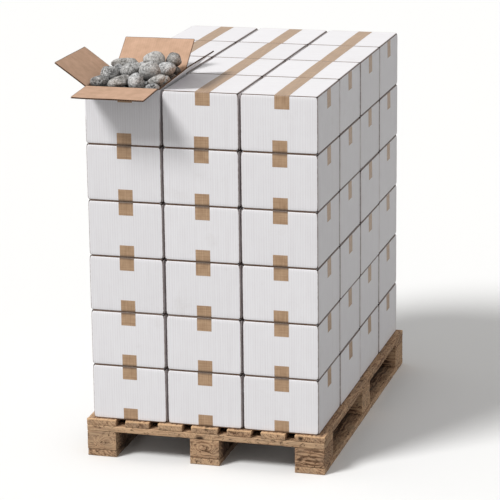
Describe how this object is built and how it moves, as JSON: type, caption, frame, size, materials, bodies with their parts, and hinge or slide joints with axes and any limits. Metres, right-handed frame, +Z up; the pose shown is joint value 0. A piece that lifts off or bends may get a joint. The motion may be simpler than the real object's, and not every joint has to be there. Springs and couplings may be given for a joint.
{
  "type": "palletised carton load of stone cobbles",
  "caption": "Block pallet stacked with taped white cartons of stone cobbles, one corner carton open with its flaps folded out and stones heaped above the rim.",
  "frame": {"origin": "middle of the pallet's underside, on the floor", "axes": "+X along the pallet's short front edge to the right, +Y along its long side to the back, +Z up"},
  "size_m": [0.877, 1.3323, 1.3182],
  "materials": {
    "pallet_wood": "rough sawn, weathered",
    "carton_board": "white coated outside, plain brown board inside",
    "paper_tape": "smooth brown packing tape",
    "granite": "rough split, rounded"
  },
  "bodies": {
    "load": {"deck_board_1": "pallet_wood", "deck_board_2": "pallet_wood", "deck_board_3": "pallet_wood", "deck_board_4": "pallet_wood", "deck_board_5": "pallet_wood", "deck_board_6": "pallet_wood", "deck_board_7": "pallet_wood", "cross_board_front": "pallet_wood", "block_front_left": "pallet_wood", "block_front_middle": "pallet_wood", "block_front_right": "pallet_wood", "cross_board_middle": "pallet_wood", "block_middle_left": "pallet_wood", "block_middle_middle": "pallet_wood", "block_middle_right": "pallet_wood", "cross_board_back": "pallet_wood", "block_back_left": "pallet_wood", "block_back_middle": "pallet_wood", "block_back_right": "pallet_wood", "skid_left": "pallet_wood", "skid_middle": "pallet_wood", "skid_right": "pallet_wood", "cartons_layer_1": "carton_board", "top_tapes_layer_1": "paper_tape", "bottom_tapes_layer_1": "paper_tape", "cartons_layer_2": "carton_board", "top_tapes_layer_2": "paper_tape", "bottom_tapes_layer_2": "paper_tape", "cartons_layer_3": "carton_board", "top_tapes_layer_3": "paper_tape", "bottom_tapes_layer_3": "paper_tape", "cartons_layer_4": "carton_board", "top_tapes_layer_4": "paper_tape", "bottom_tapes_layer_4": "paper_tape", "cartons_layer_5": "carton_board", "top_tapes_layer_5": "paper_tape", "bottom_tapes_layer_5": "paper_tape", "cartons_layer_6": "carton_board", "top_tapes_layer_6": "paper_tape", "bottom_tapes_layer_6": "paper_tape", "side_tape_tabs": "paper_tape", "open_carton": "carton_board", "open_carton_tape_tabs": "paper_tape", "loose_stones": "granite", "stone_fill": "granite"},
    "flap_left": {"flap_left": "carton_board"},
    "flap_right": {"flap_right": "carton_board"},
    "flap_front": {"flap_front": "carton_board"},
    "flap_back": {"flap_back": "carton_board"}
  },
  "joints": [
    {"name": "flap_left_fold", "type": "hinge", "parent": "load", "child": "flap_left", "pos_m": [-0.3775, -0.44175, 1.22575], "axis": [0, 1, 0], "range_deg": [-121, 54]},
    {"name": "flap_right_fold", "type": "hinge", "parent": "load", "child": "flap_right", "pos_m": [-0.1305, -0.44175, 1.22575], "axis": [0, -1, 0], "range_deg": [-33, 52]},
    {"name": "flap_front_fold", "type": "hinge", "parent": "load", "child": "flap_front", "pos_m": [-0.254, -0.58725, 1.22575], "axis": [-1, 0, 0], "range_deg": [-82, 93]},
    {"name": "flap_back_fold", "type": "hinge", "parent": "load", "child": "flap_back", "pos_m": [-0.254, -0.29625, 1.22575], "axis": [1, 0, 0], "range_deg": [-33, 52]}
  ]
}
